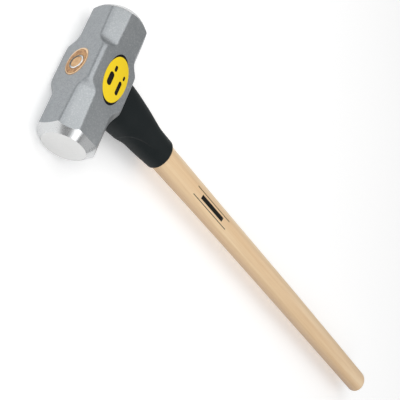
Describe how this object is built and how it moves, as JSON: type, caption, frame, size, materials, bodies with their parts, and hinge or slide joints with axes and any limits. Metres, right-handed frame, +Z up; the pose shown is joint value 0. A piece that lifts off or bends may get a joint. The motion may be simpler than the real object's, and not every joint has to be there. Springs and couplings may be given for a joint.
{
  "type": "sledge hammer",
  "caption": "Two-handed double-faced sledge hammer: octagonal forged head, oval wooden handle, ring wedge and a flared black guard sleeve under the head.",
  "frame": {"origin": "centre of the flat cheek that the head rests on, straight under the middle of the eye", "axes": "+X along the handle from the head to the butt, +Y along the head towards one striking face, +Z up out of the labelled cheek"},
  "size_m": [0.9148, 0.19, 0.0641],
  "materials": {
    "head_steel": "grey sprayed paint, bare polished steel at both striking ends",
    "hickory": "clear-lacquered pale hickory, straight grain along the handle",
    "wedge_steel": "bright steel ring",
    "eye_resin": "cured amber resin, uneven edge",
    "sleeve_rubber": "matte black moulded rubber",
    "label_film": "printed film, yellow oval over a black oval"
  },
  "bodies": {
    "root": {"head": "head_steel", "handle": "hickory", "ring_wedge": "wedge_steel", "eye_bead": "eye_resin", "guard_sleeve": "sleeve_rubber", "weight_label": "label_film"}
  },
  "joints": []
}
